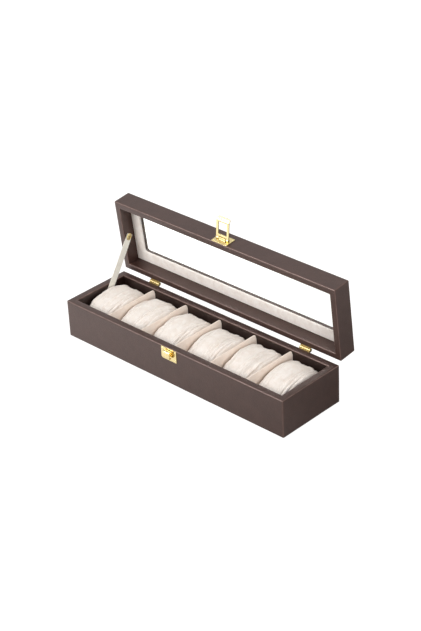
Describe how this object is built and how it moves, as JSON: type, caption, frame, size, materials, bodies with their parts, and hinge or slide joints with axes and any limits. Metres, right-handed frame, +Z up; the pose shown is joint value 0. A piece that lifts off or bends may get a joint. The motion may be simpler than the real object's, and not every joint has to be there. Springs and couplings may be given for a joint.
{
  "type": "watch box",
  "caption": "Slim leather-covered watch box with a hinged glass-window lid, suede cushions between dividers, a ribbon stay and a brass loop latch.",
  "frame": {"origin": "centre of the underside of the base", "axes": "+X along the length to the right, +Y to the back where the hinges are, +Z up"},
  "size_m": [0.325, 0.1208, 0.1658],
  "materials": {
    "brown_leatherette": "fine-grained, soft sheen",
    "beige_suede": "brushed suede",
    "cream_ribbon": "woven satin",
    "brown_felt": "felt",
    "clear_glass": "polished",
    "fibreboard": "raw board",
    "polished_brass": "polished"
  },
  "bodies": {
    "base": {"base_front_panel": "fibreboard", "base_back_panel": "fibreboard", "base_left_panel": "fibreboard", "base_right_panel": "fibreboard", "base_floor_panel": "fibreboard", "base_leather_wrap": "brown_leatherette", "base_bottom_felt": "brown_felt", "base_floor_lining": "beige_suede", "divider_1": "beige_suede", "divider_2": "beige_suede", "divider_3": "beige_suede", "divider_4": "beige_suede", "divider_5": "beige_suede", "catch_plate": "polished_brass", "catch_plate_nails": "polished_brass", "base_hinge_screws": "polished_brass", "base_stay_screw": "polished_brass", "stay_ribbon": "cream_ribbon", "left_hinge_base_leaf": "polished_brass", "right_hinge_base_leaf": "polished_brass", "left_hinge_pin": "polished_brass", "right_hinge_pin": "polished_brass"},
    "lid": {"lid_front_rail": "fibreboard", "lid_back_rail": "fibreboard", "lid_left_rail": "fibreboard", "lid_right_rail": "fibreboard", "lid_top_frame": "fibreboard", "lid_leather_wrap": "brown_leatherette", "lid_glass": "clear_glass", "lid_suede_frame": "beige_suede", "latch_plate": "polished_brass", "latch_plate_nails": "polished_brass", "lid_hinge_screws": "polished_brass", "lid_stay_screw": "polished_brass", "lid_stay_washer": "polished_brass", "left_hinge_lid_leaf": "polished_brass", "right_hinge_lid_leaf": "polished_brass"},
    "latch_loop": {"latch_loop": "polished_brass"},
    "cushion_1": {"cushion_1": "beige_suede"},
    "cushion_2": {"cushion_2": "beige_suede"},
    "cushion_3": {"cushion_3": "beige_suede"},
    "cushion_4": {"cushion_4": "beige_suede"},
    "cushion_5": {"cushion_5": "beige_suede"},
    "cushion_6": {"cushion_6": "beige_suede"}
  },
  "joints": [
    {"name": "lid_hinge", "type": "hinge", "parent": "base", "child": "lid", "pos_m": [0, 0.0478, 0.0462], "axis": [-1, 0, 0], "range_deg": [-84, 0], "deforming": ["stay_ribbon"]},
    {"name": "loop_pivot", "type": "hinge", "parent": "lid", "child": "latch_loop", "pos_m": [0, 0.04501, 0.14163], "axis": [-1, 0, 0], "range_deg": [-101, 71]},
    {"name": "cushion_1_lift", "type": "slide", "parent": "base", "child": "cushion_1", "axis": [0, 0, 1], "range_m": [0, 0.06]},
    {"name": "cushion_2_lift", "type": "slide", "parent": "base", "child": "cushion_2", "axis": [0, 0, 1], "range_m": [0, 0.06]},
    {"name": "cushion_3_lift", "type": "slide", "parent": "base", "child": "cushion_3", "axis": [0, 0, 1], "range_m": [0, 0.06]},
    {"name": "cushion_4_lift", "type": "slide", "parent": "base", "child": "cushion_4", "axis": [0, 0, 1], "range_m": [0, 0.06]},
    {"name": "cushion_5_lift", "type": "slide", "parent": "base", "child": "cushion_5", "axis": [0, 0, 1], "range_m": [0, 0.06]},
    {"name": "cushion_6_lift", "type": "slide", "parent": "base", "child": "cushion_6", "axis": [0, 0, 1], "range_m": [0, 0.06]}
  ]
}
